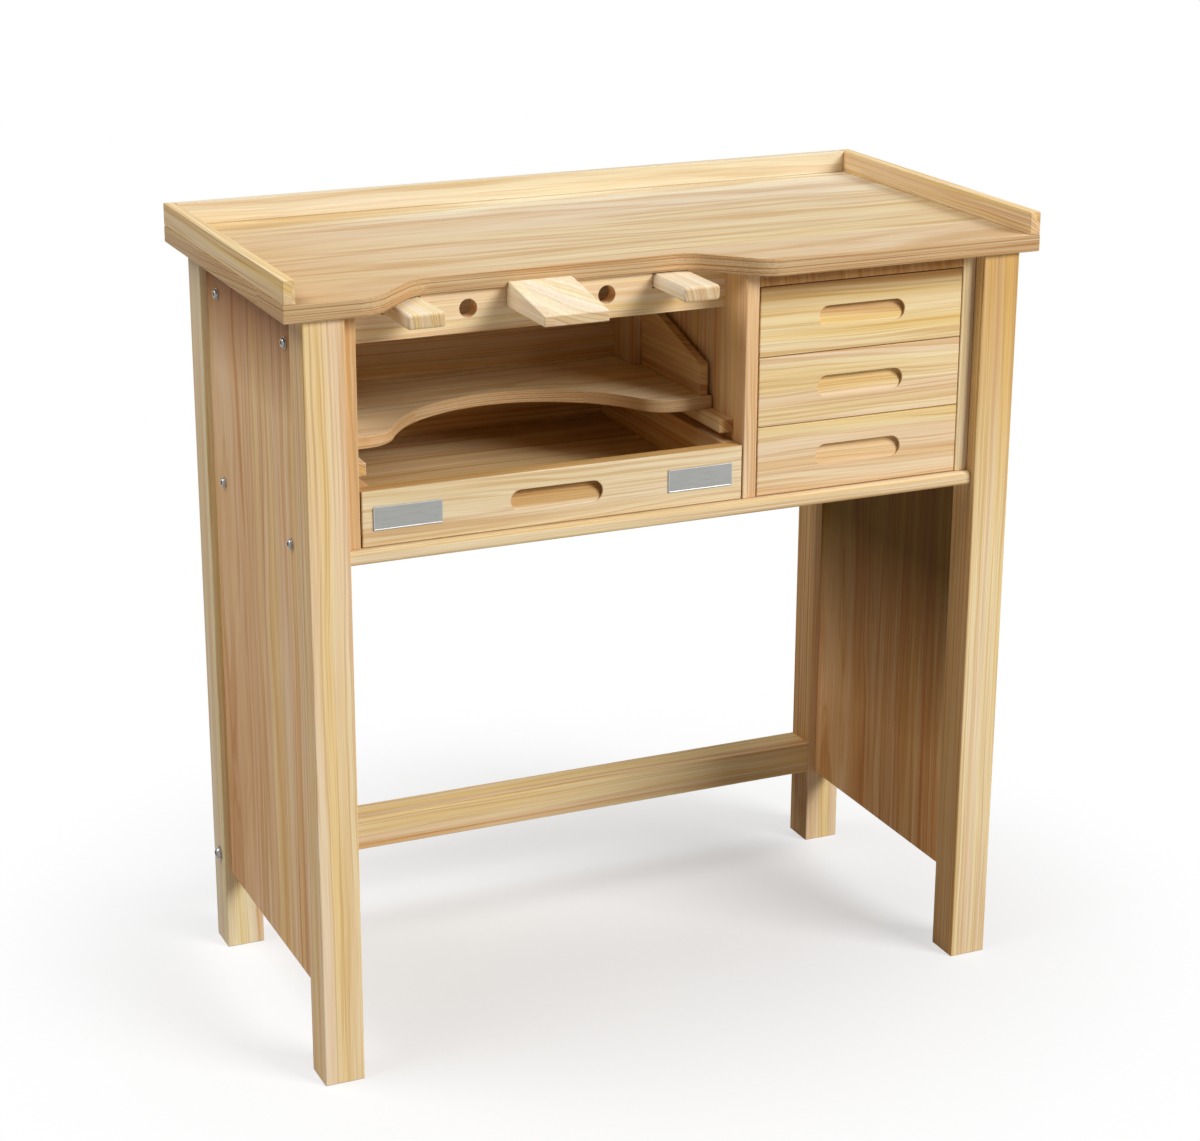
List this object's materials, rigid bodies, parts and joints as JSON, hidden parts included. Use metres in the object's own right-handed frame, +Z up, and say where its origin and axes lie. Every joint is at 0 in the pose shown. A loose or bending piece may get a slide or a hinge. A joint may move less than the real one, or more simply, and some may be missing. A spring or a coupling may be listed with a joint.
{
  "type": "jewelers bench",
  "caption": "Wooden jeweller's bench with a belly cut-out, bench pin, pull-out armrests, catch tray, sweeps drawer and small drawers on a legged frame.",
  "frame": {"origin": "on the floor, in the middle of the overall footprint, which includes the bench pin's reach in front of the worktop", "axes": "+Z up, +Y towards the back rail, +X to the right of somebody who sits at the bench"},
  "size_m": [0.9398, 0.5008, 0.9668],
  "materials": {
    "worktop_wood": "satin",
    "frame_wood": "satin",
    "case_wood": "satin",
    "drawer_wood": "satin",
    "tray_wood": "satin",
    "rest_wood": "matte",
    "plywood": "matte",
    "plate_steel": "brushed",
    "bolt_steel": "polished"
  },
  "bodies": {
    "frame": {"worktop": "worktop_wood", "back_rail": "worktop_wood", "left_rail": "worktop_wood", "right_rail": "worktop_wood", "front_left_leg": "frame_wood", "rear_left_leg": "frame_wood", "left_side_panel": "frame_wood", "front_right_leg": "frame_wood", "rear_right_leg": "frame_wood", "right_side_panel": "frame_wood", "rear_stretcher": "frame_wood", "case_left_side": "case_wood", "case_right_side": "case_wood", "case_floor": "case_wood", "case_back": "plywood", "case_divider": "case_wood", "drawer_bay_top": "case_wood", "rear_top_cleat": "case_wood", "left_battens": "frame_wood", "right_battens": "frame_wood", "apron": "case_wood", "left_armrest_guide": "case_wood", "right_armrest_guide": "case_wood", "drawer_runners": "case_wood", "drawer_stops": "case_wood", "left_tray_runner": "case_wood", "right_tray_runner": "case_wood"},
    "bench_pin": {"bench_pin": "rest_wood"},
    "left_armrest": {"left_armrest": "rest_wood"},
    "right_armrest": {"right_armrest": "rest_wood"},
    "sweeps_drawer": {"sweeps_front": "drawer_wood", "sweeps_left_side": "drawer_wood", "sweeps_right_side": "drawer_wood", "sweeps_back": "drawer_wood", "sweeps_bottom": "plywood", "sweeps_left_plate": "plate_steel", "sweeps_right_plate": "plate_steel"},
    "catch_tray": {"tray_floor": "tray_wood", "tray_left_wall": "tray_wood", "tray_right_wall": "tray_wood", "tray_back_wall": "tray_wood", "tray_corner_blocks": "tray_wood"},
    "bottom_drawer": {"bottom_drawer_front": "drawer_wood", "bottom_drawer_sides": "drawer_wood", "bottom_drawer_back": "drawer_wood", "bottom_drawer_bottom": "plywood"},
    "middle_drawer": {"middle_drawer_front": "drawer_wood", "middle_drawer_sides": "drawer_wood", "middle_drawer_back": "drawer_wood", "middle_drawer_bottom": "plywood"},
    "top_drawer": {"top_drawer_front": "drawer_wood", "top_drawer_sides": "drawer_wood", "top_drawer_back": "drawer_wood", "top_drawer_bottom": "plywood"}
  },
  "joints": [
    {"name": "sweeps_drawer_slide", "type": "slide", "parent": "frame", "child": "sweeps_drawer", "axis": [0, -1, 0], "range_m": [0, 0.3]},
    {"name": "catch_tray_slide", "type": "slide", "parent": "frame", "child": "catch_tray", "axis": [0, -1, 0], "range_m": [-0.075, 0.19]},
    {"name": "top_drawer_slide", "type": "slide", "parent": "frame", "child": "top_drawer", "axis": [0, -1, 0], "range_m": [0, 0.28]},
    {"name": "middle_drawer_slide", "type": "slide", "parent": "frame", "child": "middle_drawer", "axis": [0, -1, 0], "range_m": [0, 0.28]},
    {"name": "bottom_drawer_slide", "type": "slide", "parent": "frame", "child": "bottom_drawer", "axis": [0, -1, 0], "range_m": [0, 0.28]},
    {"name": "left_armrest_slide", "type": "slide", "parent": "frame", "child": "left_armrest", "axis": [0, -1, 0], "range_m": [-0.075, 0.12]},
    {"name": "right_armrest_slide", "type": "slide", "parent": "frame", "child": "right_armrest", "axis": [0, -1, 0], "range_m": [-0.075, 0.12]},
    {"name": "bench_pin_slide", "type": "slide", "parent": "frame", "child": "bench_pin", "axis": [0, -1, 0], "range_m": [0, 0.06]}
  ]
}
